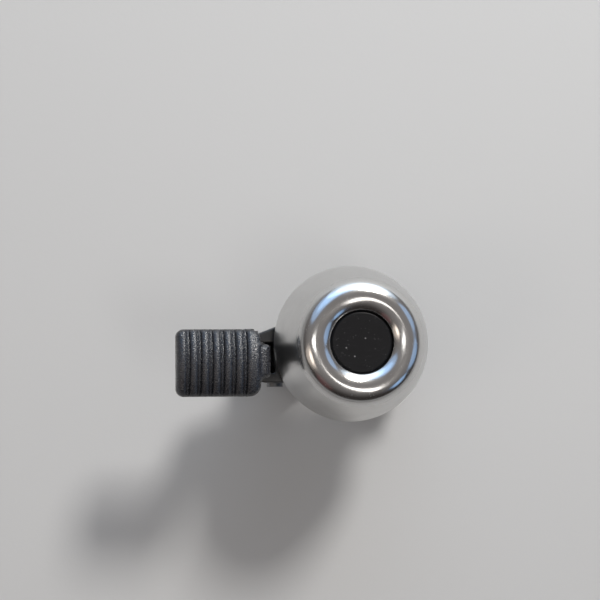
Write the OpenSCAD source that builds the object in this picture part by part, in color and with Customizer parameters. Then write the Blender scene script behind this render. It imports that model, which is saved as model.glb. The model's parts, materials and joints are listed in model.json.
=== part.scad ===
// Small bicycle bell: a chromed dome on a post, a sprung thumb lever whose nub strikes the
// dome's side, and a hinged clamp for a round handlebar.
// The origin is the middle of the handlebar bore. +Z is the dome's axis, Y runs along the bar,
// and the thumb pad points to -X.

/* [Handlebar clamp] */
// Diameter of the handlebar
bar_d = 22.2; // [21.8:0.1:22.6]
// Thickness of the rubber bar pads
bar_pad_t = 1.2; // [1:0.1:1.4]
// Thickness of the clamp's plastic wall
shell_t = 2.6; // [2.4:0.1:2.8]
// Length of the clamp along the bar
clamp_w = 15; // [14.5:0.5:15.5]
// Gap between the two clamp halves at rest
split_gap = 1.4; // [1:0.1:1.8]

/* [Dome] */
// Radius of the dome's rim
rim_r = 19; // [18.8:0.1:19.6]
// Height of the dome's crest above the bar's axis
crest_z = 35; // [34.6:0.1:35.6]
// Thickness of the dome's steel sheet
sheet_t = 1; // [0.8:0.1:1]
// Radius of the ring that runs along the crest
crest_r = 10.85; // [10.6:0.05:11]
// Depth of the screw's cup below the crest
cup_depth = 6; // [5.9:0.1:6.2]

/* [Cap] */
// Radius of the black cap's flat top
cap_flat_r = 6.9; // [6.4:0.1:7]
// Depth of the cap's top below the crest
cap_sink = 1.6; // [1.4:0.1:1.7]

/* [Thumb pad] */
// Length of the pad, away from the dome
pad_l = 20.2; // [19:0.1:20.5]
// Width of the pad
pad_w = 16; // [15:0.1:16.6]
// Shift of the pad's middle line along Y
pad_shift = -4.7; // [-5:0.1:-4.4]
// Height of the pad's rib crests above the bar's axis
pad_top_z = 30.6; // [30.2:0.1:31]
// Number of grip ribs
rib_count = 7; // [6:1:8]
// Distance between ribs
rib_pitch = 2.72; // [2.4:0.01:2.74]
// Radius of a rib
rib_r = 1.25; // [1.1:0.05:1.3]
// Length of the hammer nub
nub_l = 2.3; // [2:0.1:2.5]
// Width of the hammer nub
nub_w = 7.9; // [7:0.1:8.4]

/* [Lever pivot] */
// Distance of the pivot from the dome's axis
pivot_x = 24.4; // [24.2:0.1:24.6]
// Height of the pivot above the bar's axis
pivot_z = 12.6; // [12.4:0.1:12.8]
// Radius of the pivot pin
pin_r = 1.25; // [1.2:0.05:1.25]

/* [Hidden] */
$fn = 72;
eps = 0.01;

// clamp
bar_r = bar_d / 2;
bore_r = bar_r + bar_pad_t;
shell_r = bore_r + shell_t;
half_w = clamp_w / 2;
lip_t = 1;
lip_r = bore_r + 0.9;
pad_edge_z = 0.9;
// clamp hinge, on the side under the lever
hinge_x = -16.4;
knuckle_r = 2.9;
hinge_pin_r = 1.2;
hinge_head_r = 2;
hinge_head_t = 1;
knuckle_low_y = -9.3;
knuckle_high_y = 3.2;
jaw_knuckle_low_y = -4.4;
jaw_knuckle_high_y = 0.6;
knuckle_gap = 0.2;
knuckle_web = 3.4;
// clamp screw, M4, on the other side
screw_x = 16.9;
m4_r = 2;
thread_gap = 0.05;
lug_out = 4.3;
lug_half_w = 5.2;
lug_corner_r = 1.6;
base_lug_top = 6.1;
jaw_lug_low = -4.6;
nut_af = 7;
nut_h = 3.2;
nut_z = 2.7;
washer_r = 4;
washer_t = 0.5;
screw_head_r = 3.7;
screw_head_h = 2.6;
screw_len = 12;
head_room = 0.35;
washer_top = jaw_lug_low - 0.05;
head_top = washer_top - washer_t;
cross_l = 3.6;
cross_w = 0.9;
cross_deep = 1.5;
// base and post
deck_z = 15.6;
deck_r = 9.5;
post_r = 4.6;
foot_r = 6;
foot_h = 1.6;
insert_r = 2.9;
insert_l = 9.8;
bush_flange_t = 1.4;
bush_collar_r = 3;
// dome profile
crown_r = 4.45;
crown_deg = 45;
shoulder_r = 7;
shoulder_deg = 68;
skirt_r = 51.3;
skirt_deg = 84;
cup_lip_r = 3.36;
cup_lip_deg = 65;
cup_r = 7.6;
floor_z = crest_z - cup_depth;
under_z = floor_z - sheet_t;
post_top = under_z - bush_flange_t;
nylon_t = 0.7;
steel_t = 0.5;
dome_head_h = 1.8;
// cap
cap_r = 7.5;
cap_bevel = 0.5;
cap_t = 1.1;
cap_skirt_r = 6.9;
cap_skirt_t = 0.8;
// bracket that carries the lever
ear_t = 2.2;
slot_low_y = -7;
slot_high_y = 0.4;
ear_r = 3.4;
bracket_floor_z = 10.2;
bracket_floor_t = 2.4;
slot_x = -18.4;
floor_gap = 2.6;
// lever
run_gap = 0.05;
side_gap = 0.2;
hub_r = 3.4;
arm_low_y = slot_low_y + side_gap;
arm_high_y = slot_high_y - side_gap;
coil_low_y = -5.4;
coil_high_y = -1.2;
coil_room_r = 2.8;
window_top_z = 20.5;
tongue_z = 26;
tongue_t = 1.6;
pad_low_z = 24.9;
pad_out_x = -43.6;
pad_in_x = pad_out_x + pad_l;
pad_corner_r = 2.2;
pad_body_top = pad_top_z - 1;
nub_top_z = pad_body_top - 0.3;
nub_corner_r = 1;
// torsion spring
wire_r = 0.35;
coil_r = 2.05;
coil_turns = 4.25;
coil_y0 = -5;
coil_y1 = -1.6;
fixed_leg_x = -18.8;
moving_leg_z = 21.8;
rings_per_turn = 24;
wire_sides = 8;

// ---- helpers ----

// A rod or disc along Y between two heights on Y.
module y_rod(r, y0, y1, x = 0, z = 0) {
    translate([x, y1, z]) rotate([90, 0, 0]) cylinder(r = r, h = y1 - y0);
}

// A side outline in the XZ plane, carried along Y.
module y_plate(y0, y1) {
    translate([0, y1, 0]) rotate([90, 0, 0]) linear_extrude(y1 - y0) children();
}

// A box between two corners.
module span(low, high) {
    translate(low) cube(high - low);
}

// A rectangle with round corners between two corners.
module round_rect(low, high, r) {
    size = high - low;
    translate(low) {
        translate([r, 0]) square([size.x - 2 * r, size.y]);
        translate([0, r]) square([size.x, size.y - 2 * r]);
        for (x = [r, size.x - r], y = [r, size.y - r]) translate([x, y]) circle(r);
    }
}

// A ring about Z.
module ring(outer, inner, z0, z1) {
    difference() {
        translate([0, 0, z0]) cylinder(r = outer, h = z1 - z0);
        translate([0, 0, z0 - 1]) cylinder(r = inner, h = z1 - z0 + 2);
    }
}

// A hexagonal prism measured across its flats, with two flats square to X.
module hexagon(across, z0, z1) {
    translate([0, 0, z0]) rotate(30) cylinder(r = across / sqrt(3), h = z1 - z0, $fn = 6);
}

// The cross recess in a screw's head, cut down from z = 0.
module cross_recess() {
    for (turn = [0, 90]) rotate(turn)
        translate([-cross_l / 2, -cross_w / 2, -cross_deep]) cube([cross_l, cross_w, cross_deep + 1]);
}

// A tube about the bar between two radii.
module bar_tube(outer, inner, y0, y1) {
    difference() {
        y_rod(outer, y0, y1);
        y_rod(inner, y0 - 1, y1 + 1);
    }
}

// ---- dome ----

// Points of an arc on the outer profile, or one sheet thickness inside it.
function bend(centre, r, a0, a1, steps) =
    [for (i = [0:steps]) let (a = a0 + (a1 - a0) * i / steps) centre + r * [sin(a), cos(a)]];

crown_centre = [crest_r, crest_z - crown_r];
crown_end = crown_centre + crown_r * [sin(crown_deg), cos(crown_deg)];
shoulder_centre = crown_end - shoulder_r * [sin(crown_deg), cos(crown_deg)];
shoulder_end = shoulder_centre + shoulder_r * [sin(shoulder_deg), cos(shoulder_deg)];
skirt_centre = shoulder_end - skirt_r * [sin(shoulder_deg), cos(shoulder_deg)];
lip_centre = [crest_r, crest_z - cup_lip_r];

// The sheet's outer line when d is 0 and its inner line when d is the sheet's thickness,
// from the middle of the cup out to the rim.
function dome_line(d) = concat(
    [[0, floor_z - d], [cup_r + d - 0.6, floor_z - d], [cup_r + d, floor_z - d + 0.6]],
    [[cup_r + d, crest_z - 2.7]],
    bend(lip_centre, cup_lip_r - d, -cup_lip_deg, 0, 8),
    bend(crown_centre, crown_r - d, 5, crown_deg, 6),
    bend(shoulder_centre, shoulder_r - d, crown_deg + 5, shoulder_deg, 5),
    bend(skirt_centre, skirt_r - d, shoulder_deg + 2, skirt_deg, 7));

function backwards(list) = [for (i = [len(list) - 1:-1:0]) list[i]];

module dome() {
    color("gainsboro") difference() {
        rotate_extrude() scale_to_rim()
            polygon(concat(dome_line(0), backwards(dome_line(sheet_t))));
        translate([0, 0, under_z - 1]) cylinder(r = bush_collar_r + 0.1, h = sheet_t + 2);
    }
}

// Moves the profile outwards so that the rim lands on rim_r.
module scale_to_rim() {
    rim = skirt_centre + skirt_r * [sin(skirt_deg), cos(skirt_deg)];
    intersection() {
        translate([rim_r - rim.x, 0]) children();
        square([rim_r + 1, crest_z + 1]);
    }
    intersection() {
        children();
        square([cup_r, crest_z + 1]);
    }
}

module dome_cap() {
    top = crest_z - cap_sink;
    color([0.07, 0.07, 0.08]) rotate_extrude() polygon([
        [0, top], [cap_flat_r, top], [cap_r, top - cap_bevel], [cap_r, top - cap_t - 0.4],
        [cap_skirt_r, top - cap_t - 0.4], [cap_skirt_r, floor_z + 0.1],
        [cap_skirt_r - cap_skirt_t, floor_z + 0.1], [cap_skirt_r - cap_skirt_t, top - cap_t],
        [0, top - cap_t]]);
}

module nylon_washer() {
    color("ivory") ring(4.7, m4_r + 0.15, floor_z, floor_z + nylon_t);
}

module steel_washer() {
    color("silver") ring(4.3, m4_r + 0.2, floor_z + nylon_t, floor_z + nylon_t + steel_t);
}

module dome_screw() {
    seat = floor_z + nylon_t + steel_t;
    color("silver") difference() {
        union() {
            translate([0, 0, seat]) cylinder(r = screw_head_r, h = dome_head_h);
            translate([0, 0, seat - 12.5]) cylinder(r = m4_r, h = 12.5 + eps);
        }
        translate([0, 0, seat + dome_head_h]) cross_recess();
    }
}

module isolating_bush() {
    color("dimgray") difference() {
        union() {
            translate([0, 0, post_top]) cylinder(r = post_r + 0.3, h = bush_flange_t);
            translate([0, 0, post_top]) cylinder(r = bush_collar_r, h = floor_z - post_top);
        }
        translate([0, 0, post_top - 1]) cylinder(r = m4_r + 0.1, h = floor_z - post_top + 2);
    }
}

module post_insert() {
    color("goldenrod") ring(insert_r, m4_r, post_top - insert_l, post_top);
}

// ---- base ----

// Side outline of the bracket that reaches out to the lever's pivot.
module bracket_side() {
    low = bracket_floor_z - bracket_floor_t;
    polygon([[-8, low], [-pivot_x + 1, low], [-pivot_x, pivot_z - ear_r],
        [-pivot_x, pivot_z + ear_r], [-8, pivot_z + ear_r]]);
    translate([-pivot_x, pivot_z]) circle(ear_r);
}

// The bracket's outline seen from above: it widens on one side towards the dome.
module bracket_plan() {
    out_x = -pivot_x - ear_r - 1;
    polygon([[-6, slot_low_y - ear_t], [out_x, slot_low_y - ear_t], [out_x, slot_high_y + ear_t],
        [-22.4, slot_high_y + ear_t], [-17.6, 4.4], [-6, 7]]);
}

// One of the base's two hinge knuckles, with its web up to the shell.
module base_knuckle(y0, y1) {
    y_rod(knuckle_r, y0, y1, hinge_x);
    span([hinge_x - knuckle_r, y0, 0], [-bore_r - 0.3, y1, knuckle_web]);
}

// The block at the side of a clamp half that takes the clamp screw.
module screw_lug(z0, z1) {
    translate([0, 0, z0]) linear_extrude(z1 - z0)
        round_rect([shell_r - 3, -lug_half_w], [screw_x + lug_out, lug_half_w], lug_corner_r);
}

module base() {
    color([0.09, 0.09, 0.1]) difference() {
        union() {
            intersection() {
                y_rod(shell_r, -half_w, half_w);
                span([-20, -20, split_gap / 2], [20, 20, 20]);
            }
            translate([0, 0, 6]) cylinder(r = deck_r, h = deck_z - 6);
            translate([0, 0, deck_z - eps]) cylinder(r1 = foot_r, r2 = post_r, h = foot_h);
            translate([0, 0, deck_z - eps]) cylinder(r = post_r, h = post_top - deck_z + eps);
            intersection() {
                linear_extrude(deck_z + 5) bracket_plan();
                y_plate(-12, 12) bracket_side();
            }
            base_knuckle(knuckle_low_y, jaw_knuckle_low_y - knuckle_gap);
            base_knuckle(jaw_knuckle_high_y + knuckle_gap, knuckle_high_y);
            screw_lug(split_gap / 2, base_lug_top);
        }
        y_rod(bore_r, -30, 30);
        y_rod(lip_r, -half_w - 5, -half_w);
        y_rod(lip_r, half_w, half_w + 5);
        // room for the lever between the ears
        span([-40, slot_low_y, bracket_floor_z], [slot_x, slot_high_y, 30]);
        span([-40, slot_low_y, 0], [-pivot_x + floor_gap, slot_high_y, 30]);
        y_rod(pin_r, -20, 20, -pivot_x, pivot_z);
        // clamp hinge
        y_rod(hinge_pin_r, -20, 20, hinge_x);
        y_rod(knuckle_r + 0.3, jaw_knuckle_low_y - knuckle_gap, jaw_knuckle_high_y + knuckle_gap, hinge_x);
        // clamp screw and its nut
        translate([screw_x, 0, -1]) cylinder(r = m4_r + 0.3, h = 20);
        translate([screw_x, 0, 0]) hexagon(nut_af + 0.1, nut_z, 20);
        translate([0, 0, post_top - insert_l]) cylinder(r = insert_r, h = insert_l + 1);
    }
}

// ---- clamp ----

module clamp_jaw() {
    color([0.09, 0.09, 0.1]) difference() {
        union() {
            intersection() {
                y_rod(shell_r, -half_w, half_w);
                span([-20, -20, -20], [20, 20, -split_gap / 2]);
            }
            y_rod(knuckle_r, jaw_knuckle_low_y, jaw_knuckle_high_y, hinge_x);
            span([hinge_x - knuckle_r, jaw_knuckle_low_y, -knuckle_web],
                [-bore_r - 0.3, jaw_knuckle_high_y, 0]);
            screw_lug(jaw_lug_low, -split_gap / 2);
        }
        y_rod(bore_r, -30, 30);
        y_rod(hinge_pin_r + run_gap, -20, 20, hinge_x);
        for (side = [[-30, jaw_knuckle_low_y - eps], [jaw_knuckle_high_y + eps, 30]])
            y_rod(knuckle_r + 0.3, side[0], side[1], hinge_x);
        // room for the washer and the screw's head below the lug
        translate([screw_x, 0, -20]) cylinder(r = washer_r + head_room, h = 20 + jaw_lug_low);
        // the hole is long, so that the jaw can tilt about the screw
        for (x = [-0.5, 0, 0.5]) translate([screw_x + x, 0, -20]) cylinder(r = m4_r + 0.4, h = 30);
    }
}

module jaw_hinge_pin() {
    color("silver") {
        y_rod(hinge_pin_r, knuckle_low_y - eps, knuckle_high_y, hinge_x);
        y_rod(hinge_head_r, knuckle_low_y - hinge_head_t, knuckle_low_y, hinge_x);
    }
}

module bar_pad(low, high) {
    color([0.16, 0.16, 0.17]) intersection() {
        union() {
            bar_tube(bore_r, bar_r, -half_w, half_w);
            bar_tube(lip_r, bar_r, -half_w - lip_t, -half_w + eps);
            bar_tube(lip_r, bar_r, half_w - eps, half_w + lip_t);
        }
        span([-20, -20, low], [20, 20, high]);
    }
}

module upper_bar_pad() {
    bar_pad(pad_edge_z, 20);
}

module lower_bar_pad() {
    bar_pad(-20, -pad_edge_z);
}

module clamp_nut() {
    color("silver") translate([screw_x, 0, 0]) difference() {
        hexagon(nut_af, nut_z, nut_z + nut_h);
        cylinder(r = m4_r + thread_gap, h = 20);
    }
}

module clamp_washer() {
    color("silver") translate([screw_x, 0, 0]) ring(washer_r, m4_r + thread_gap, head_top, washer_top);
}

module clamp_screw() {
    color("silver") translate([screw_x, 0, 0]) difference() {
        union() {
            translate([0, 0, head_top - screw_head_h]) cylinder(r = screw_head_r, h = screw_head_h);
            translate([0, 0, head_top - eps]) cylinder(r = m4_r, h = screw_len + eps);
        }
        translate([0, 0, head_top - screw_head_h]) mirror([0, 0, 1]) cross_recess();
    }
}

// ---- lever ----

// Side outline of the lever's upright.
module arm_side() {
    circle_centre = [-pivot_x, pivot_z];
    translate(circle_centre) circle(hub_r);
    polygon([[-pivot_x - hub_r, pivot_z], [-pivot_x + hub_r, pivot_z], [-pivot_x + hub_r, pivot_z + 5],
        [-pivot_x + 2, pad_low_z], [-pivot_x - 5, pad_low_z], [-pivot_x - hub_r, pivot_z + 5]]);
}

// The flat tongue that the pad is moulded round.
module tongue() {
    low = [pad_out_x + 4, pad_shift - 5.5];
    high = [pad_in_x - 1.6, pad_shift + 5.5];
    translate([0, 0, tongue_z]) linear_extrude(tongue_t) round_rect(low, high, 1.5);
    span([-pivot_x - 4.4, arm_low_y, pad_low_z - 0.5], [pad_in_x - 1.6, arm_high_y, tongue_z + eps]);
}

module striker_arm() {
    color([0.06, 0.06, 0.07]) difference() {
        union() {
            y_plate(arm_low_y, arm_high_y) arm_side();
            tongue();
        }
        y_rod(pin_r + run_gap, -20, 20, -pivot_x, pivot_z);
        // window for the spring's coil and its upright leg, closed towards the dome
        y_rod(coil_room_r, coil_low_y, coil_high_y, -pivot_x, pivot_z);
        span([-40, coil_low_y, pivot_z - hub_r - 1], [-10, coil_high_y, pivot_z]);
        span([-40, coil_low_y, pivot_z - eps], [-pivot_x, coil_high_y, window_top_z]);
        translate([-pivot_x - coil_r, coil_y1, window_top_z - 1]) cylinder(r = wire_r + 0.1, h = 2.4);
    }
}

module pad_outline() {
    round_rect([pad_out_x, pad_shift - pad_w / 2], [pad_in_x, pad_shift + pad_w / 2], pad_corner_r);
}

module thumb_pad() {
    first_rib = (pad_out_x + pad_in_x) / 2 - rib_pitch * (rib_count - 1) / 2;
    color([0.24, 0.26, 0.29]) difference() {
        union() {
            translate([0, 0, pad_low_z]) linear_extrude(pad_body_top - pad_low_z) pad_outline();
            intersection() {
                union() for (i = [0:rib_count - 1])
                    y_rod(rib_r, pad_shift - pad_w / 2 + 0.4, pad_shift + pad_w / 2 - 0.4,
                        first_rib + rib_pitch * i, pad_top_z - rib_r);
                linear_extrude(pad_top_z + 1) pad_outline();
            }
            translate([0, 0, pad_low_z]) linear_extrude(nub_top_z - pad_low_z)
                round_rect([pad_in_x - 3, pad_shift + 0.4 - nub_w / 2],
                    [pad_in_x + nub_l, pad_shift + 0.4 + nub_w / 2], nub_corner_r);
        }
        tongue();
    }
}

module pivot_pin() {
    color("silver") {
        y_rod(pin_r, slot_low_y - ear_t - eps, slot_high_y + ear_t + 1.2, -pivot_x, pivot_z);
        y_rod(pin_r + 0.7, slot_low_y - ear_t - 0.7, slot_low_y - ear_t, -pivot_x, pivot_z);
    }
}

// Push-on ring that holds the pivot pin's plain end.
module pivot_clip() {
    y0 = slot_high_y + ear_t + 0.1;
    color("gray") difference() {
        y_rod(pin_r + 1, y0, y0 + 0.6, -pivot_x, pivot_z);
        y_rod(pin_r, y0 - 1, y0 + 2, -pivot_x, pivot_z);
    }
}

// The spring's middle line: the fixed leg along the bracket's floor, the coil round the pin,
// and the moving leg up the lever's window.
coil_rings = round(coil_turns * rings_per_turn);
spring_line = concat(
    [[fixed_leg_x, coil_y0, pivot_z - coil_r]],
    [for (i = [0:coil_rings])
        let (a = -90 - 360 * coil_turns * i / coil_rings, y = coil_y0 + (coil_y1 - coil_y0) * i / coil_rings)
        [-pivot_x + coil_r * cos(a), y, pivot_z + coil_r * sin(a)]],
    [[-pivot_x - coil_r, coil_y1, moving_leg_z]]);

function unit(v) = v / norm(v);

// One ring of the wire's surface, square to the line at point i.
function wire_ring(line, i) =
    let (before = line[max(i - 1, 0)], after = line[min(i + 1, len(line) - 1)],
        along = unit(after - before), side = unit(cross(along, [0, 1, 0])), up = cross(side, along))
    [for (k = [0:wire_sides - 1]) let (a = 360 * k / wire_sides)
        line[i] + wire_r * (cos(a) * side + sin(a) * up)];

module torsion_spring() {
    n = len(spring_line);
    s = wire_sides;
    points = [for (i = [0:n - 1]) each wire_ring(spring_line, i)];
    walls = [for (i = [0:n - 2], k = [0:s - 1])
        [i * s + k, i * s + (k + 1) % s, (i + 1) * s + (k + 1) % s, (i + 1) * s + k]];
    ends = [[for (k = [s - 1:-1:0]) k], [for (k = [0:s - 1]) (n - 1) * s + k]];
    color("silver") polyhedron(points, concat(walls, ends));
}

base();
post_insert();
isolating_bush();
dome();
nylon_washer();
steel_washer();
dome_screw();
dome_cap();
striker_arm();
thumb_pad();
pivot_pin();
pivot_clip();
torsion_spring();
clamp_jaw();
jaw_hinge_pin();
upper_bar_pad();
lower_bar_pad();
clamp_nut();
clamp_washer();
clamp_screw();
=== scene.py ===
"""Looks for a small bicycle bell: a chromed dome with a black cap, a ribbed thumb pad with a
striking nub, a torsion spring, and the moulded base and clamp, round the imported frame."""

import json
import math

import bmesh
import bpy
import numpy as np
from mathutils import Matrix, Vector


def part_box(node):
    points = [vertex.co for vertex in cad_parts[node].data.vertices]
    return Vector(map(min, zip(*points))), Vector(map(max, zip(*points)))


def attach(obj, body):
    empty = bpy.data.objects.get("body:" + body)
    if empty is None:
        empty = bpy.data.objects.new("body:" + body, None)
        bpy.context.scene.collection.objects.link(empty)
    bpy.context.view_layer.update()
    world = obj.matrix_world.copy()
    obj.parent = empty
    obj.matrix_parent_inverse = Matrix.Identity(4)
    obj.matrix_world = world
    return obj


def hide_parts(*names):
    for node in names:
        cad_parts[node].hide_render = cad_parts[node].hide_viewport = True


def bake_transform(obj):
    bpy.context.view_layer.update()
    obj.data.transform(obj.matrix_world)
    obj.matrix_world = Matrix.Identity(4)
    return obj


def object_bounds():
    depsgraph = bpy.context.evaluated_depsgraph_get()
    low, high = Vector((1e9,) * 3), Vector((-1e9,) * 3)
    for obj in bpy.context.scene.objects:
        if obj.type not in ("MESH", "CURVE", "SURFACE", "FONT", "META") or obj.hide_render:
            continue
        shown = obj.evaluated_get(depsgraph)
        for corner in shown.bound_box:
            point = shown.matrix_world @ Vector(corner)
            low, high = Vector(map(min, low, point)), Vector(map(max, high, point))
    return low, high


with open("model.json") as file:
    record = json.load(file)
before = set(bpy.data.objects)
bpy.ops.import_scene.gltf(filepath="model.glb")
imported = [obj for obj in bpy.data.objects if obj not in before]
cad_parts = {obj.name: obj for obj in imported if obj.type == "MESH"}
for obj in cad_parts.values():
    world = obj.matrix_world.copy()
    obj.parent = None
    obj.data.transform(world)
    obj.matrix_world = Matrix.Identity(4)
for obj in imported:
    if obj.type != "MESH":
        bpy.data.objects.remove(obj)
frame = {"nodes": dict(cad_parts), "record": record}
low_at_load, high_at_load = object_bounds()

bl_info = {
    "name": "Bicycle bell looks",
    "version": (1, 0, 0),
    "blender": (4, 5, 0),
    "location": "3D View > Sidebar > Bell",
    "description": "Dresses a small handlebar bell: dome, cap, thumb pad, spring, base and stage",
    "category": "Object",
}

MM = 0.001
SKY_BLUE = (0.34, 0.60, 1.0)

dome_low, dome_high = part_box("dome")
cap_low, cap_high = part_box("dome_cap")
pad_low, pad_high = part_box("thumb_pad")
spring_low, spring_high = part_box("torsion_spring")
behaviour = frame["record"]["behaviour"]
pivot = Vector(next(joint for joint in behaviour["joints"] if joint["name"] == "striker_pivot")["pos_m"])


# ---- sizes and colours ----


def length(name, description, default):
    """A length property in metres."""
    return bpy.props.FloatProperty(
        name=name, description=description, default=default, unit="LENGTH", subtype="DISTANCE", precision=5
    )


def colour(name, description, default):
    """A linear colour property."""
    return bpy.props.FloatVectorProperty(
        name=name, description=description, default=default, size=3, subtype="COLOR", min=0, max=1
    )


def count(name, description, default):
    """A whole number property."""
    return bpy.props.IntProperty(name=name, description=description, default=default, min=1)


class DomeSizes(bpy.types.PropertyGroup):
    """The dome's profile, from the cup in its middle to its rim."""

    rim_radius: length("Rim radius", "Outer radius of the rim", dome_high.x)
    rim_height: length("Rim height", "Height of the rim above the bar's axis", dome_low.z)
    crest_height: length("Crest height", "Height of the crest above the bar's axis", dome_high.z)
    crest_radius: length("Crest radius", "Radius of the ring along the crest", 10.85 * MM)
    crown_bend: length("Crown bend", "Bend radius just outside the crest", 4.45 * MM)
    shoulder_bend: length("Shoulder bend", "Bend radius between the crown and the skirt", 7.0 * MM)
    lip_bend: length("Lip bend", "Bend radius from the crest towards the cup", 4.6 * MM)
    brink_bend: length("Brink bend", "Bend radius between the lip and the cup's wall", 0.45 * MM)
    cup_radius: length("Cup radius", "Radius of the cup's wall", 7.6 * MM)
    cup_depth: length("Cup depth", "Depth of the cup's floor below the crest", 6.0 * MM)
    hole_radius: length("Hole radius", "Radius of the hole in the cup's floor", 3.1 * MM)
    sheet: length("Sheet", "Thickness of the steel sheet", 1.0 * MM)


class PadSizes(bpy.types.PropertyGroup):
    """The thumb pad and its striking nub."""

    ribs: count("Ribs", "Number of grip ribs", 7)
    rib_pitch: length("Rib pitch", "Distance from rib to rib", 2.72 * MM)
    rib_depth: length("Rib depth", "Height of a rib above its groove", 0.95 * MM)
    corner: length("Corner", "Radius of the pad's outer corners from above", 1.9 * MM)
    nub_side_corner: length("Nub side corner", "Radius of the pad's corners beside the nub", 2.7 * MM)
    rib_shift: length("Rib shift", "Shift of the ribs from the middle of the pad", -0.27 * MM)
    edge: length("Edge", "Radius of the pad's top edge", 1.9 * MM)
    crown: length("Crown", "Fall of the pad's top from its middle to its long sides", 2.2 * MM)
    nub_length: length("Nub length", "How far the nub stands out of the pad", 2.3 * MM)
    nub_width: length("Nub width", "Width of the nub", 7.9 * MM)
    nub_shift: length("Nub shift", "Shift of the nub from the pad's middle line", 0.4 * MM)
    nub_drop: length("Nub drop", "How far the nub's top lies below the ribs", 1.3 * MM)


class BellColours(bpy.types.PropertyGroup):
    """Colours of the bell's finishes."""

    chrome: colour("Chrome", "Colour of the chrome plate", (0.66, 0.655, 0.645))
    cap: colour("Cap", "Colour of the cap", (0.008, 0.008, 0.009))
    pad: colour("Pad", "Colour of the thumb pad", (0.0095, 0.011, 0.0165))
    pad_worn: colour("Worn pad", "Colour of the pad where thumbs have rubbed it", (0.017, 0.019, 0.027))
    plastic: colour("Plastic", "Colour of the base and the clamp", (0.014, 0.014, 0.015))
    rubber: colour("Rubber", "Colour of the bar pads and the bush", (0.026, 0.026, 0.027))
    zinc: colour("Zinc", "Colour of the zinc plated steel", (0.52, 0.53, 0.55))
    spring: colour("Spring wire", "Colour of the spring", (0.42, 0.43, 0.45))
    brass: colour("Brass", "Colour of the post's insert", (0.62, 0.44, 0.18))
    nylon: colour("Nylon", "Colour of the nylon washer", (0.74, 0.72, 0.64))
    floor: colour("Floor", "Colour of the floor", (0.625, 0.636, 0.646))


# ---- shader maths ----


class Value:
    """A number that varies over a surface. Arithmetic on it adds Math nodes."""

    def __init__(self, graph, socket):
        self.graph, self.socket = graph, socket

    def math(self, operation, first, second):
        """The result of one Math node."""
        node = self.graph.node("ShaderNodeMath", {"operation": operation}, {0: first, 1: second})
        return Value(self.graph, node.outputs[0])

    def __add__(self, other):
        return self.math("ADD", self, other)

    def __sub__(self, other):
        return self.math("SUBTRACT", self, other)

    def __rsub__(self, other):
        return self.math("SUBTRACT", other, self)

    def __mul__(self, other):
        return self.math("MULTIPLY", self, other)

    __radd__, __rmul__ = __add__, __mul__

    def step(self, start, end):
        """0 below start, 1 above end, and a smooth rise between them."""
        inputs = {"Value": self, "From Min": start, "From Max": end}
        node = self.graph.node("ShaderNodeMapRange", {"interpolation_type": "SMOOTHSTEP"}, inputs)
        return Value(self.graph, node.outputs["Result"])


class Graph:
    """A node tree, to which one method adds every node."""

    def __init__(self, tree, coordinate):
        self.tree = tree
        self.place = self.node("ShaderNodeTexCoord").outputs[coordinate]

    def node(self, kind, settings=None, inputs=None):
        """One node: its settings are set first, then its sockets get their values or links."""
        node = self.tree.nodes.new(kind)
        for label, setting in (settings or {}).items():
            setattr(node, label, setting)
        for label, value in (inputs or {}).items():
            source = value.socket if isinstance(value, Value) else value
            if isinstance(source, bpy.types.NodeSocket):
                self.tree.links.new(source, node.inputs[label])
            else:
                node.inputs[label].default_value = source
        return node

    def axes(self):
        """The three coordinates, as values."""
        node = self.node("ShaderNodeSeparateXYZ", None, {0: self.place})
        return [Value(self, node.outputs[letter]) for letter in "XYZ"]

    def blend(self, factor, first, second):
        """A colour that goes from first to second with the factor."""
        first, second = ((*hue, 1) if isinstance(hue, tuple) else hue for hue in (first, second))
        return self.node("ShaderNodeMix", {"data_type": "RGBA"}, {0: factor, 6: first, 7: second}).outputs[2]


class Paint(Graph):
    """A material with one Principled shader. Constants are set on the shader's own sockets."""

    def __init__(self, name, **constants):
        self.material = bpy.data.materials.new(name)
        self.material.use_nodes = True
        super().__init__(self.material.node_tree, "Object")
        self.shader = self.tree.nodes["Principled BSDF"]
        for label, value in constants.items():
            label = label.replace("_", " ").title().replace("Ior", "IOR")
            self.shader.inputs[label].default_value = (*value, 1) if isinstance(value, tuple) else value

    def stretched(self, scale):
        """Object coordinates stretched by one factor for each axis."""
        inputs = {0: self.place, 1: scale}
        return self.node("ShaderNodeVectorMath", {"operation": "MULTIPLY"}, inputs).outputs[0]

    def noise(self, scale, detail=3.0, roughness=0.55, place=None, warp=0.0):
        """Noise between 0 and 1, with scale features to the metre."""
        inputs = {
            "Vector": place or self.place,
            "Scale": scale,
            "Detail": detail,
            "Roughness": roughness,
            "Distortion": warp,
        }
        return Value(self, self.node("ShaderNodeTexNoise", None, inputs).outputs[0])

    def specks(self, scale, size, share):
        """1 in small scattered dots, of which noise keeps only a share, and 0 elsewhere."""
        cells = self.node("ShaderNodeTexVoronoi", None, {"Vector": self.place, "Scale": scale})
        dots = 1 - Value(self, cells.outputs["Distance"]).step(size * 0.6, size)
        return dots * self.noise(scale * 0.23, 1).step(0.97 - share, 1.03 - share)

    def feed(self, label, value):
        """Links a value or colour to one of the shader's sockets."""
        self.tree.links.new(value.socket if isinstance(value, Value) else value, self.shader.inputs[label])

    def bump(self, height, depth):
        """Feeds a height of 0 to 1, which stands for depth in metres, to the shader's normal."""
        bump = self.node("ShaderNodeBump", None, {"Height": height, "Distance": depth})
        self.feed("Normal", bump.outputs[0])


# ---- materials: noise scales are features to the metre, bump depths are metres ----


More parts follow.
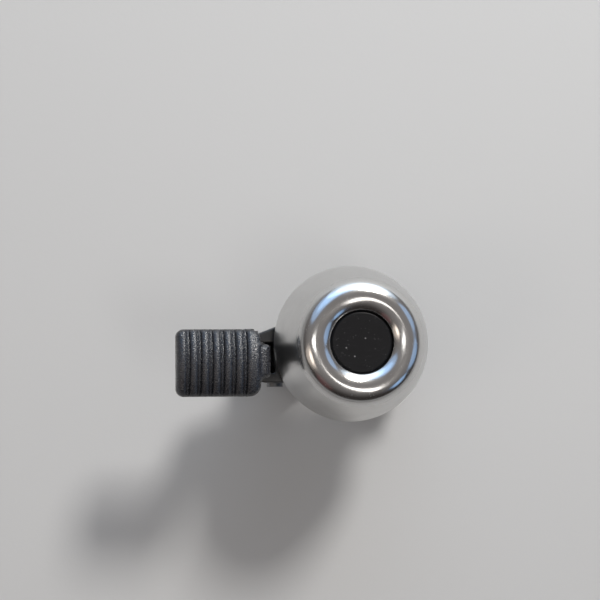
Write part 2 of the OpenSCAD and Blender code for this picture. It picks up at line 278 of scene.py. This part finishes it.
def chrome_plate(hue):
    """Bright plate, satin on the skirt, with a soft handling film, dust, and fine rubbing marks
    round the axis."""
    paint = Paint("chrome_plate", base_color=hue, metallic=1.0)
    satin = 1 - paint.axes()[2].step(dome_high.z - 3.8 * MM, dome_high.z - 1.8 * MM)
    film = paint.noise(160, 4, 0.6, warp=0.6).step(0.42, 0.72)
    dust = paint.specks(1900, 0.16, 0.42)
    rubbed = paint.noise(900, 2, 0.5, place=paint.stretched((1, 1, 7))).step(0.5, 0.85)
    dull = tuple(0.9 * part for part in hue)
    paint.feed("Base Color", paint.blend(film * 0.4 + dust * 0.5, hue, dull))
    paint.feed("Roughness", 0.15 + 0.15 * satin + 0.05 * film + 0.03 * rubbed + 0.2 * dust)
    paint.bump(paint.noise(210, 2, 0.4) + 0.05 * rubbed, 3e-6)
    return paint.material


def cap_plastic(hue):
    """Satin black plastic with dust, faint turning marks and a few scuffs."""
    paint = Paint("cap_plastic", base_color=hue, specular_ior_level=0.2)
    dust = paint.specks(620, 0.13, 0.48)
    fine = paint.specks(1700, 0.2, 0.46)
    scuff = paint.noise(420, 3, 0.6, place=paint.stretched((1, 4, 1)), warp=1.2).step(0.6, 0.72)
    tone = paint.blend(scuff * 0.2, hue, tuple(part + 0.03 for part in hue))
    paint.feed("Base Color", paint.blend(dust * 0.75 + fine * 0.22, tone, (0.3, 0.3, 0.31)))
    paint.feed("Roughness", 0.3 + 0.14 * paint.noise(300, 3) + 0.2 * scuff)
    paint.bump(paint.noise(5200, 2) * 0.5 + dust, 1.0e-5)
    return paint.material


def pad_rubber(hue, worn):
    """Grained blue-grey rubbery plastic, paler where thumbs rub the ribs, with pale flecks painted into the
    colour as glints, which are painted highlights.
    """
    paint = Paint("pad_rubber", base_color=hue, specular_ior_level=1.0)
    mottle = paint.noise(420, 4, 0.65, warp=0.4)
    grain = paint.noise(2400, 3, 0.72)
    # specks: scattered pale dots in the colour that stand in for glints, i.e. painted highlights
    specks = paint.specks(1500, 0.16, 0.45)
    crest = paint.axes()[2].step(pad_high.z - 1.9 * MM, pad_high.z - 0.2 * MM)
    rub = crest * mottle.step(0.25, 0.7)
    polished = paint.noise(1900, 2, 0.6).step(0.5, 0.58)
    shade = paint.blend(mottle.step(0.3, 0.75) * 0.6, hue, tuple(0.6 * part for part in hue))
    rubbed = paint.blend(rub * 0.8, shade, worn)
    # the pale dots mixed in here are painted highlights, glints painted into the colour
    paint.feed("Base Color", paint.blend(specks * 0.6, rubbed, (0.3, 0.31, 0.33)))
    paint.feed("Roughness", 0.38 - 0.2 * polished)
    paint.bump(grain, 1.5e-4)
    return paint.material


def moulded_plastic(name, hue, polish):
    """Black moulded plastic: spark grain, soft flow clouds, dust and pale rubbing."""
    paint = Paint(name, base_color=hue, specular_ior_level=0.5)
    clouds = paint.noise(130, 3, 0.5, warp=0.8)
    grain = paint.noise(5200, 2, 0.6)
    scuff = paint.noise(520, 4, 0.6, place=paint.stretched((1, 1, 3))).step(0.6, 0.75)
    dust = paint.specks(1300, 0.13, 0.4)
    tone = paint.blend(scuff * 0.3 + clouds * 0.2, hue, tuple(part + 0.03 for part in hue))
    paint.feed("Base Color", paint.blend(dust * 0.5, tone, (0.2, 0.2, 0.2)))
    paint.feed("Roughness", polish + 0.12 * clouds + 0.14 * scuff)
    paint.bump(grain + 0.6 * dust, 1.1e-5)
    return paint.material


def black_rubber(name, hue):
    """Matt rubber with a fine grain and a pale bloom."""
    paint = Paint(name, base_color=hue, specular_ior_level=0.35)
    bloom = paint.noise(260, 4, 0.6, warp=0.5)
    grain = paint.noise(3600, 3, 0.7)
    paint.feed("Base Color", paint.blend(bloom.step(0.45, 0.8) * 0.5, hue, tuple(part * 2.1 for part in hue)))
    paint.feed("Roughness", 0.68 + 0.2 * grain)
    paint.bump(grain + bloom * 0.4, 4e-5)
    return paint.material


def plated_steel(name, hue, sheen, drawn):
    """Plated steel with drawing marks along drawn, crystal clouds and a few dull spots."""
    paint = Paint(name, base_color=hue, metallic=1.0)
    clouds = paint.noise(700, 4, 0.6, warp=0.7)
    marks = paint.noise(1500, 3, 0.6, place=paint.stretched(drawn))
    spots = paint.specks(1500, 0.2, 0.35)
    tone = paint.blend(clouds.step(0.35, 0.7), hue, tuple(0.78 * part for part in hue))
    paint.feed("Base Color", paint.blend(spots * 0.4, tone, (0.3, 0.28, 0.25)))
    paint.feed("Roughness", sheen + 0.16 * clouds + 0.2 * spots)
    paint.bump(marks + 0.3 * clouds, 6e-6)
    return paint.material


def nylon_plastic(hue):
    """Natural nylon, slightly translucent, with a waxy mottling."""
    paint = Paint("nylon_plastic", base_color=hue, subsurface_weight=0.15, roughness=0.5)
    mottle = paint.noise(500, 3)
    paint.feed("Base Color", paint.blend(mottle, hue, tuple(0.85 * part for part in hue)))
    paint.feed("Roughness", 0.4 + 0.2 * mottle)
    paint.bump(paint.noise(3000, 2), 1e-5)
    return paint.material


def floor_paint(hue):
    """Matt pale board with a barely seen tooth."""
    paint = Paint("floor_board", base_color=hue, roughness=0.9, specular_ior_level=0.1)
    cloud = paint.noise(9, 3, 0.5)
    paint.feed("Base Color", paint.blend(cloud * 0.3, hue, tuple(0.97 * part for part in hue)))
    paint.bump(paint.noise(900, 3), 2e-5)
    return paint.material


# ---- mesh making ----


def grid_piece(name, points, wrap_rows, wrap_columns):
    """A mesh over a grid of points (rows, columns, 3). Each cell is one face, a wrapped direction
    joins its last line to its first, equal points are merged, and the faces point outwards."""
    rows, columns = points.shape[:2]
    last_row, last_column = rows - (not wrap_rows), columns - (not wrap_columns)
    i, j = (index.ravel() for index in np.meshgrid(np.arange(last_row), np.arange(last_column)))
    up, right = (i + 1) % rows, (j + 1) % columns
    quads = np.stack([i * columns + j, i * columns + right, up * columns + right, up * columns + j], axis=1)
    mesh = bpy.data.meshes.new(name)
    mesh.from_pydata(points.reshape(-1, 3).tolist(), [], quads.tolist())
    tidy = bmesh.new()
    tidy.from_mesh(mesh)
    bmesh.ops.remove_doubles(tidy, verts=tidy.verts, dist=1e-7)
    bmesh.ops.dissolve_degenerate(tidy, edges=tidy.edges, dist=1e-8)
    bmesh.ops.recalc_face_normals(tidy, faces=tidy.faces)
    tidy.to_mesh(mesh)
    tidy.free()
    return shown(name, mesh)


def shown(name, mesh):
    """A smooth object at the origin for the mesh, in the scene."""
    mesh.shade_smooth()
    piece = bpy.data.objects.new(name, mesh)
    bpy.context.scene.collection.objects.link(piece)
    return piece


def stands_for(piece, node, material):
    """The piece takes a CAD node's place, body and material slot."""
    piece.data.materials.clear()
    piece.data.materials.append(material)
    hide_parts(node)
    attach(piece, body_of_node(node))


def body_of_node(node):
    """The CAD body that a node belongs to."""
    return next(body for body, nodes in behaviour["bodies"].items() if node in nodes)


def arc(centre, radius, start, end, steps):
    """Points of a round stretch. Angles are in degrees from +Z towards the outside."""
    angles = np.radians(np.linspace(start, end, steps))
    return np.stack([centre[0] + radius * np.sin(angles), centre[1] + radius * np.cos(angles)], axis=1)


def line(start, end, steps):
    """Points of a straight stretch, without its two ends."""
    t = np.linspace(0, 1, steps + 2)[1:-1, None]
    return np.array(start) * (1 - t) + np.array(end) * t


def lathe(name, profile, steps, ring):
    """A profile of (radius, height) points turned once about Z. It is a ring if the profile
    closes on itself, and otherwise the profile starts and ends on the axis."""
    turn = np.linspace(0, 2 * math.pi, steps, endpoint=False)
    radius, height = profile[:, 0, None], profile[:, 1, None]
    points = np.stack([radius * np.cos(turn), radius * np.sin(turn), height + 0 * turn], axis=2)
    return grid_piece(name, points, ring, True)


def moulded_copy(node, voxel, rounds):
    """A copy of a CAD node with the soft edges of a moulding: merged, remeshed with that voxel
    size, and relaxed for that many rounds."""
    source = frame["nodes"][node]
    copy = shown(node + "_moulded", source.data.copy())
    merged = bmesh.new()
    merged.from_mesh(copy.data)
    bmesh.ops.remove_doubles(merged, verts=merged.verts, dist=1e-6)
    merged.to_mesh(copy.data)
    merged.free()
    remesh = copy.modifiers.new("even_skin", "REMESH")
    remesh.mode = "VOXEL"
    remesh.voxel_size = voxel
    relax = copy.modifiers.new("soft_edges", "SMOOTH")
    relax.factor = 0.5
    relax.iterations = rounds
    evaluated = copy.evaluated_get(bpy.context.evaluated_depsgraph_get())
    skin = bpy.data.meshes.new_from_object(evaluated)
    copy.modifiers.clear()
    copy.data = skin
    skin.shade_smooth()
    return copy


# ---- pieces ----


def dome_profile(sizes):
    """The sheet's closed outline: the outer line from the hole to the rim, a rounded rim, and
    the same line one sheet thickness inside, back to the hole. The outer line is a chain of
    arcs that meet at equal slopes: cup floor, wall, brink, lip, crown, shoulder and skirt. The
    turns are the slopes, in degrees, at which the crown, the shoulder and the skirt end."""
    crown_turn, shoulder_turn, skirt_turn = 45, 68, 84
    cup_corner = 0.6 * MM
    crest = np.array([sizes.crest_radius, sizes.crest_height])

    def leave(start, radius, angle):
        """The centre of an arc of that radius that passes through start at that angle."""
        return start - radius * np.array([math.sin(math.radians(angle)), math.cos(math.radians(angle))])

    crown = leave(crest, sizes.crown_bend, 0)
    crown_end = arc(crown, sizes.crown_bend, crown_turn, crown_turn, 1)[0]
    shoulder = leave(crown_end, sizes.shoulder_bend, crown_turn)
    shoulder_end = arc(shoulder, sizes.shoulder_bend, shoulder_turn, shoulder_turn, 1)[0]
    rim = np.array([sizes.rim_radius, sizes.rim_height])
    a, b = math.radians(shoulder_turn), math.radians(skirt_turn)
    skirt_bend = (rim[0] - shoulder_end[0]) / (math.sin(b) - math.sin(a))
    skirt = leave(shoulder_end, skirt_bend, shoulder_turn)
    lip, brink_reach = leave(crest, sizes.lip_bend, 0), sizes.lip_bend - sizes.brink_bend
    brink_turn = -math.degrees(math.asin((crest[0] - sizes.cup_radius - sizes.brink_bend) / brink_reach))
    brink = arc(lip, brink_reach, brink_turn, brink_turn, 1)[0]
    floor = sizes.crest_height - sizes.cup_depth

    def side(inset):
        """The line at that distance inside the outer surface."""
        wall = sizes.cup_radius + inset
        lip_start = arc(lip, sizes.lip_bend - inset, brink_turn, brink_turn, 1)[0]
        bend = arc(brink, sizes.brink_bend, -90, brink_turn, 12) if inset == 0 else lip_start[None]
        return np.concatenate([
            line((sizes.hole_radius, floor - inset), (wall - cup_corner, floor - inset), 4),
            arc((wall - cup_corner, floor - inset + cup_corner), cup_corner, 180, 90, 6),
            line((wall, floor - inset + cup_corner), (wall, bend[0, 1]), 4),
            bend[:-1],
            arc(lip, sizes.lip_bend - inset, brink_turn, 0, 26),
            arc(crown, sizes.crown_bend - inset, 1.5, crown_turn, 26),
            arc(shoulder, sizes.shoulder_bend - inset, crown_turn + 2, shoulder_turn, 12),
            arc(skirt, skirt_bend - inset, shoulder_turn + 0.8, skirt_turn - 0.25, 20),
        ])

    outer, inner = side(0.0), side(sizes.sheet)
    middle = (outer[-1] + inner[-1]) / 2
    rim_bend = sizes.sheet / 2
    rounded = arc(middle, rim_bend, skirt_turn + 8, skirt_turn + 172, 9)
    return np.concatenate([outer, rounded, inner[::-1]])


class BELL_OT_dome(bpy.types.Operator):
    """Make the chromed dome"""

    bl_idname = "bell.dome"
    bl_label = "Dome"

    def execute(self, context):
        piece = lathe("dome_shell", dome_profile(context.scene.bell_dome), 288, True)
        stands_for(piece, "dome", chrome_plate(tuple(context.scene.bell_colours.chrome)))
        return {"FINISHED"}


class BELL_OT_cap(bpy.types.Operator):
    """Make the black cap in the dome's cup"""

    bl_idname = "bell.cap"
    bl_label = "Cap"

    def execute(self, context):
        """A disc whose top is dished by a parabola, with a bevelled and softened edge, and a
        thin skirt under it that stands in from the edge."""
        top, bottom, outer = cap_high.z, cap_low.z, cap_high.x
        bevel, soft, wall, dish = 0.55 * MM, 0.12 * MM, 0.8 * MM, 0.072 * MM
        flat, skirt = outer - bevel, outer - 0.3 * MM
        step, roof = top - 1.5 * MM, top - 1.1 * MM
        radius = np.linspace(0, flat, 40)
        profile = np.concatenate([
            np.stack([radius, top - dish * (1 - (radius / flat) ** 2)], axis=1),
            line((flat, top), (outer - soft, top - bevel + soft), 5),
            arc((outer - soft, top - bevel - soft), soft, 45, 90, 5),
            line((outer, top - bevel - soft), (outer, step), 3),
            line((outer, step), (skirt, step), 2),
            line((skirt, step), (skirt, bottom), 4),
            np.array([(skirt, bottom), (skirt - wall, bottom)]),
            line((skirt - wall, bottom), (skirt - wall, roof), 3),
            np.array([(skirt - wall, roof), (0, roof)]),
        ])
        piece = lathe("cap_disc", profile, 200, False)
        stands_for(piece, "dome_cap", cap_plastic(tuple(context.scene.bell_colours.cap)))
        return {"FINISHED"}


def pad_outline(sizes):
    """Half of the pad's outline from above, from its outer end to the nub's end: places (x, y)
    with y from the middle line, and the outward direction at each."""
    out, end = pad_low.x, pad_high.x - sizes.nub_length
    wide, corner, inner = (pad_high.y - pad_low.y) / 2, sizes.corner, sizes.nub_side_corner
    nub, fillet, nub_corner = sizes.nub_width / 2, 1.0 * MM, 1.0 * MM

    def bend(centre, radius, start, finish, steps, inward=1):
        angle = np.radians(np.linspace(start, finish, steps))
        way = np.stack([np.cos(angle), np.sin(angle)], axis=1)
        return np.array(centre) + radius * way, way * inward

    def run(start, finish, steps, way):
        return line(start, finish, steps), np.tile(way, (steps, 1))

    parts = [
        run((out, 0), (out, wide - corner), 6, (-1, 0)),
        bend((out + corner, wide - corner), corner, 180, 90, 24),
        run((out + corner, wide), (end - inner, wide), 300, (0, 1)),
        bend((end - inner, wide - inner), inner, 90, 0, 24),
        run((end, wide - inner), (end, nub + fillet), 4, (1, 0)),
        bend((end + fillet, nub + fillet), fillet, 180, 270, 10, -1),
        run((end + fillet, nub), (pad_high.x - nub_corner, nub), 3, (0, 1)),
        bend((pad_high.x - nub_corner, nub - nub_corner), nub_corner, 90, 0, 14),
        run((pad_high.x, nub - nub_corner), (pad_high.x, 0), 6, (1, 0)),
    ]
    places = np.concatenate([[(out, 0)], *[p for p, _ in parts], [(pad_high.x, 0)]])
    ways = np.concatenate([[(-1, 0)], *[w for _, w in parts], [(1, 0)]])
    return places, ways


def smooth(t):
    """A smooth rise from 0 to 1 as t goes from 0 to 1."""
    t = np.clip(t, 0, 1)
    return t * t * (3 - 2 * t)


def hump(u, centre, half):
    """A half ellipse of height 1 about the centre, and 0 outside it."""
    return np.sqrt(np.clip(1 - ((u - centre) / half) ** 2, 0, 1))


def pad_top(sizes, x, y):
    """Height of the pad's top: broad round ribs, each falling to a shelf that carries a fine
    ridge and ends in a sharp groove, with the first and last ribs running out to the pad's ends,
    a crown that falls towards the long sides, and a step down to the nub."""
    end = pad_high.x - sizes.nub_length
    wide = (pad_high.y - pad_low.y) / 2
    first = (pad_low.x + end) / 2 - sizes.rib_pitch * sizes.ribs / 2 + sizes.rib_shift
    phase = (x - first) / sizes.rib_pitch
    rib = np.clip(np.floor(phase), 0, sizes.ribs - 1)
    u, last = phase - rib, rib == sizes.ribs - 1
    # places and half widths along a rib are shares of the pitch, heights are shares of its depth
    crest_at, fine_at, groove_at = 0.42, 0.83, 0.93
    rise, fall = np.where(rib == 0, 0.75, 0.41), np.where(last, 1.0, 0.34)
    broad = hump(u, crest_at, np.where(u < crest_at, rise, fall))
    shelf = 0.5 * smooth((groove_at - u) / 0.05) * (u > crest_at) + 0.3 * hump(u, fine_at, 0.07)
    ridge = np.maximum(broad, np.where(last, 0.0, shelf))
    body = pad_high.z - sizes.rib_depth * (1 - ridge) - sizes.crown * (y / wide) ** 2
    droop, droop_reach, nub_crown, step_reach = 0.5 * MM, 3 * MM, 0.3 * MM, 1.1 * MM
    drooped = body - droop * (1 - smooth((x - pad_low.x) / droop_reach))
    nub_top = pad_high.z - sizes.nub_drop - nub_crown * (y / (sizes.nub_width / 2)) ** 2
    return drooped + (nub_top - body) * smooth((x - end + 1.0 * MM) / step_reach)


class BELL_OT_thumb_pad(bpy.types.Operator):
    """Make the ribbed thumb pad with its striking nub"""

    bl_idname = "bell.thumb_pad"
    bl_label = "Thumb pad"

    def execute(self, context):
        """Rows follow the outline and columns go once round the pad's section: across the top,
        over a rounded edge that starts at the crown's slope, down the side, round the lower edge,
        and back underneath."""
        sizes = context.scene.bell_pad
        places, ways = pad_outline(sizes)
        middle, low_edge = (pad_high.y + pad_low.y) / 2, 0.6 * MM
        end = pad_high.x - sizes.nub_length
        shift = sizes.nub_shift * smooth((places[:, 0] - end) / (1.0 * MM))
        x, y = places[:, 0, None], places[:, 1, None]
        out_x, out_y = ways[:, 0, None], ways[:, 1, None]
        first = np.radians(6 + 20 * np.abs(out_y))  # slope at the edge's start, steepest at the sides

        def inset(amount):
            """The outline moved inwards, kept on its own side of the middle line."""
            return x - out_x * amount, np.maximum(y - out_y * amount, 0)

        across = np.linspace(-1, 1, 61)[None, :]
        top_x, top_y = inset(sizes.edge * (1 - np.sin(first)))
        top_z = pad_top(sizes, top_x + 0 * across, top_y * across)
        top = (top_x + 0 * across, top_y * across, top_z)
        turn = first + (math.pi / 2 - first) * np.linspace(0, 1, 12)[None, 1:]
        round_x, round_y = inset(sizes.edge * (1 - np.sin(turn)))
        shoulder = pad_top(sizes, top_x, top_y)
        round_z = shoulder - sizes.edge * (np.cos(first) - np.cos(turn))
        side_t = np.linspace(0, 1, 6)[None, 1:-1]
        side_z = round_z[:, -1:] * (1 - side_t) + (pad_low.z + low_edge) * side_t
        side_x, side_y = x + 0 * side_t, y + 0 * side_t
        low_turn = np.radians(np.linspace(90, 0, 7))[None, :]
        low_x, low_y = inset(low_edge * (1 - np.sin(low_turn)))
        low_z = pad_low.z + low_edge * (1 - np.cos(low_turn)) + 0 * low_x
        edge_x = np.concatenate([round_x, side_x, low_x], axis=1)
        edge_y = np.concatenate([round_y, side_y, low_y], axis=1)
        edge_z = np.concatenate([round_z, side_z, low_z], axis=1)
        back = np.linspace(1, -1, 21)[None, 1:-1]
        flat = (low_x[:, -1:] + 0 * back, low_y[:, -1:] * back, pad_low.z + 0 * low_x[:, -1:] * back)
        xs = np.concatenate([top[0], edge_x, flat[0], edge_x[:, ::-1]], axis=1)
        ys = np.concatenate([top[1], edge_y, flat[1], -edge_y[:, ::-1]], axis=1)
        zs = np.concatenate([top[2], edge_z, flat[2], edge_z[:, ::-1]], axis=1)
        points = np.stack([xs, ys + middle + shift[:, None], zs], axis=2)
        piece = grid_piece("pad_skin", points, False, True)
        hues = context.scene.bell_colours
        stands_for(piece, "thumb_pad", pad_rubber(tuple(hues.pad), tuple(hues.pad_worn)))
        return {"FINISHED"}


class BELL_OT_spring(bpy.types.Operator):
    """Make the torsion spring on the pivot pin"""

    bl_idname = "bell.spring"
    bl_label = "Torsion spring"

    def execute(self, context):
        """A round wire along a fixed leg, a coil about the pin, and a leg up the lever."""
        wire, coil, turns, sides = 0.35 * MM, 2.05 * MM, 4.25, 16
        first_y, last_y = spring_low.y + wire, spring_high.y - wire
        a = np.radians(-90 - 360 * turns * np.linspace(0, 1, 220))
        y = np.linspace(first_y, last_y, len(a))
        wound = np.stack([pivot.x + coil * np.cos(a), y, pivot.z + coil * np.sin(a)], axis=1)
        start = np.array([spring_high.x, first_y, pivot.z - coil])
        finish = np.array([pivot.x - coil, last_y, spring_high.z])
        legs = line(start, wound[0], 8), line(wound[-1], finish, 14)
        route = np.concatenate([[start], legs[0], wound, legs[1], [finish]])
        along = np.gradient(route, axis=0)
        along /= np.linalg.norm(along, axis=1, keepdims=True)
        side = np.cross(along, (0.0, 1.0, 0.0))
        side /= np.linalg.norm(side, axis=1, keepdims=True)
        up = np.cross(side, along)
        turn = np.linspace(0, 2 * math.pi, sides, endpoint=False)
        skin = side[:, None] * np.cos(turn)[None, :, None] + up[:, None] * np.sin(turn)[None, :, None]
        points = route[:, None] + wire * skin
        tips = [np.repeat(route[i][None, None], sides, axis=1) for i in (0, -1)]
        points = np.concatenate([tips[0], points, tips[1]], axis=0)
        piece = grid_piece("spring_wire", points, False, True)
        hue = tuple(context.scene.bell_colours.spring)
        piece.data.materials.append(plated_steel("spring_wire", hue, 0.22, (3, 0.4, 3)))
        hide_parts("torsion_spring")
        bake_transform(piece)
        return {"FINISHED"}


class BELL_OT_mouldings(bpy.types.Operator):
    """Give the moulded plastic and rubber parts soft edges and their finishes"""

    bl_idname = "bell.mouldings"
    bl_label = "Mouldings"

    def execute(self, context):
        hues = context.scene.bell_colours
        plastic = moulded_plastic("base_plastic", tuple(hues.plastic), 0.3)
        gloss = moulded_plastic("lever_plastic", tuple(hues.plastic), 0.24)
        rubber = black_rubber("bar_rubber", tuple(hues.rubber))
        for node, voxel, rounds, material in (
            ("base", 0.27 * MM, 5, plastic),
            ("clamp_jaw", 0.25 * MM, 5, plastic),
            ("striker_arm", 0.18 * MM, 5, gloss),
            ("upper_bar_pad", 0.22 * MM, 3, rubber),
            ("lower_bar_pad", 0.22 * MM, 3, rubber),
        ):
            stands_for(moulded_copy(node, voxel, rounds), node, material)
        return {"FINISHED"}


class BELL_OT_fastenings(bpy.types.Operator):
    """Give the screws, pins, washers, nut, insert and bush their finishes"""

    bl_idname = "bell.fastenings"
    bl_label = "Fastenings"

    def execute(self, context):
        hues = context.scene.bell_colours
        turned = plated_steel("zinc_turned", tuple(hues.zinc), 0.24, (1, 1, 5))
        # the pins take the same zinc colour darkened to 0.4: painted shade, a shaded copy of the turned zinc,
        # with drawing marks along the pins
        drawn = plated_steel("zinc_drawn_painted_shade", tuple(0.4 * part for part in hues.zinc), 0.34, (4, 0.5, 4))
        finishes = {
            "dome_screw": turned,
            "steel_washer": turned,
            "clamp_screw": turned,
            "clamp_washer": turned,
            "clamp_nut": turned,
            "pivot_pin": drawn,
            "jaw_hinge_pin": drawn,
            "pivot_clip": plated_steel("spring_clip", tuple(hues.spring), 0.28, (3, 3, 3)),
            "post_insert": plated_steel("turned_brass", tuple(hues.brass), 0.22, (1, 1, 6)),
            "nylon_washer": nylon_plastic(tuple(hues.nylon)),
            "isolating_bush": black_rubber("bush_rubber", tuple(hues.rubber)),
        }
        for node, material in finishes.items():
            mesh = frame["nodes"][node].data
            mesh.materials.clear()
            mesh.materials.append(material)
        return {"FINISHED"}


# ---- stage ----


def soft_light(name, azimuth, zenith, across, down, radiance, tint):
    """An oval light that faces the bell. In degrees: azimuth runs from +X towards +Y, zenith
    from straight up to the horizon, and across and down are the light's two widths seen from
    the bell. Radiance is the brightness of its face. Patches of blue sky show in reflections
    only, so that shadows stay neutral."""
    distance = 0.9
    a, z = math.radians(azimuth), math.radians(zenith)
    way = Vector((math.cos(a) * math.sin(z), math.sin(a) * math.sin(z), math.cos(z)))
    data = bpy.data.lights.new(name, "AREA")
    data.shape = "ELLIPSE"
    data.size, data.size_y = (2 * distance * math.tan(math.radians(wide / 2)) for wide in (across, down))
    data.energy = radiance * math.pi * math.pi / 4 * data.size * data.size_y
    data.color = tint
    lamp = bpy.data.objects.new(name, data)
    lamp.location = way * distance
    lamp.rotation_euler = way.to_track_quat("Z", "Y").to_euler()
    lamp.visible_diffuse = tint != SKY_BLUE
    bpy.context.scene.collection.objects.link(lamp)


class BELL_OT_stage(bpy.types.Operator):
    """Make the pale floor, the soft lights, the surroundings and the camera"""

    bl_idname = "bell.stage"
    bl_label = "Stage"

    def execute(self, context):
        scene = context.scene
        hues = scene.bell_colours
        floor_z = low_at_load.z - 0.1 * MM
        reach = 3.0
        corners = [(x * reach, y * reach, floor_z) for x, y in ((-1, -1), (1, -1), (1, 1), (-1, 1))]
        mesh = bpy.data.meshes.new("floor")
        mesh.from_pydata(corners, [], [(0, 1, 2, 3)])
        mesh.materials.append(floor_paint(tuple(hues.floor)))
        floor = bpy.data.objects.new("floor", mesh)
        scene.collection.objects.link(floor)

        warm, white = (1.0, 0.86, 0.74), (1.0, 1.0, 1.0)
        for name, azimuth, zenith, across, down, radiance, tint in (
            ("window", 82, 68, 70, 58, 0.75, (0.62, 0.80, 1.0)),
            ("window_middle", 79, 68, 54, 46, 0.7, (0.94, 0.97, 1.0)),
            ("window_bright", 75, 68, 40, 34, 0.4, white),
            ("window_core", 66, 46, 12, 12, 60.0, (1.0, 0.96, 0.91)),
            ("sky_by_window", 119, 54, 54, 48, 0.6, SKY_BLUE),
            ("sky_by_window_middle", 117, 52, 32, 30, 0.7, SKY_BLUE),
            ("sky_right_back", 24, 56, 24, 28, 0.6, SKY_BLUE),
            ("sky_right_back_middle", 24, 56, 13, 18, 0.7, SKY_BLUE),
            ("sky_right_front", -9, 57, 24, 30, 0.6, SKY_BLUE),
            ("sky_right_front_middle", -9, 57, 14, 18, 0.8, SKY_BLUE),
            ("sky_right_low", -38, 58, 16, 18, 0.9, SKY_BLUE),
            ("ceiling_lamp", 176, 15, 6, 22, 3.6, (1.0, 0.98, 0.95)),
            ("second_lamp", -55, 18, 8, 26, 4.2, (1.0, 0.96, 0.92)),
            ("warm_lamp", 199, 44, 13, 16, 1.8, warm),
            ("warm_wall", 197, 54, 22, 40, 0.5, warm),
            ("red_curtain", 232, 62, 22, 34, 0.07, (1.0, 0.32, 0.36)),
        ):
            soft_light(name, azimuth, zenith, across, down, radiance, tint)

        # dim walls that are lighter above and in front, with a pale band at the horizon
        scene.world = bpy.data.worlds.new("room")
        scene.world.use_nodes = True
        room = Graph(scene.world.node_tree, "Generated")
        _, forward, up = room.axes()
        lit = (up * 0.9 + forward * 0.5).step(-0.15, 0.8)
        walls = room.blend(lit, (0.035, 0.03, 0.028), (0.24, 0.225, 0.22))
        surroundings = room.blend(0.85 - 0.85 * up.step(0.03, 0.16), walls, (0.42, 0.42, 0.42))
        background = room.tree.nodes["Background"]
        room.tree.links.new(surroundings, background.inputs["Color"])
        scene.view_settings.view_transform = "Standard"

        # the camera looks down on the rim's middle, leaning towards the pad
        rim = Vector((0, 0, dome_low.z))
        lean_x, lean_y, roll = math.radians(9.85), math.radians(1.48), math.radians(-0.4)
        camera_distance = 0.498
        away = Vector((-math.tan(lean_x), -math.tan(lean_y), 1)).normalized()
        aim = rim + Vector((-12.4, 10.7, 0)) * MM
        data = bpy.data.cameras.new("camera")
        data.lens, data.sensor_width = 122.3, 36
        data.clip_start, data.clip_end = 0.01, 20
        camera = bpy.data.objects.new("camera", data)
        camera.location = rim + away * camera_distance
        back = (camera.location - aim).normalized()
        right = Vector((0, 1, 0)).cross(back).normalized()
        level = Matrix((right, back.cross(right), back)).transposed()
        camera.rotation_euler = (level @ Matrix.Rotation(roll, 3, "Z")).to_euler()
        scene.collection.objects.link(camera)
        scene.camera = camera
        return {"FINISHED"}


OPERATORS = (
    BELL_OT_stage,
    BELL_OT_dome,
    BELL_OT_cap,
    BELL_OT_thumb_pad,
    BELL_OT_spring,
    BELL_OT_mouldings,
    BELL_OT_fastenings,
)
GROUPS = {"bell_dome": DomeSizes, "bell_pad": PadSizes, "bell_colours": BellColours}


class BELL_PT_panel(bpy.types.Panel):
    """Lists the bell's sizes, colours and pieces"""

    bl_idname = "BELL_PT_panel"
    bl_label = "Bicycle bell"
    bl_space_type = "VIEW_3D"
    bl_region_type = "UI"
    bl_category = "Bell"

    def draw(self, context):
        for group in GROUPS:
            box = self.layout.box()
            for name in getattr(context.scene, group).bl_rna.properties.keys():
                if name not in ("rna_type", "name"):
                    box.prop(getattr(context.scene, group), name)
        for operator in OPERATORS:
            self.layout.operator(operator.bl_idname)


def register():
    for item in (*GROUPS.values(), *OPERATORS, BELL_PT_panel):
        bpy.utils.register_class(item)
    for name, group in GROUPS.items():
        setattr(bpy.types.Scene, name, bpy.props.PointerProperty(type=group))


def unregister():
    for name in GROUPS:
        delattr(bpy.types.Scene, name)
    for item in (BELL_PT_panel, *reversed(OPERATORS), *GROUPS.values()):
        bpy.utils.unregister_class(item)


def main():
    """Registers the add-on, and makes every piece."""
    register()
    for operator in OPERATORS:
        group, name = operator.bl_idname.split(".")
        getattr(getattr(bpy.ops, group), name)()


if __name__ == "__main__":
    main()
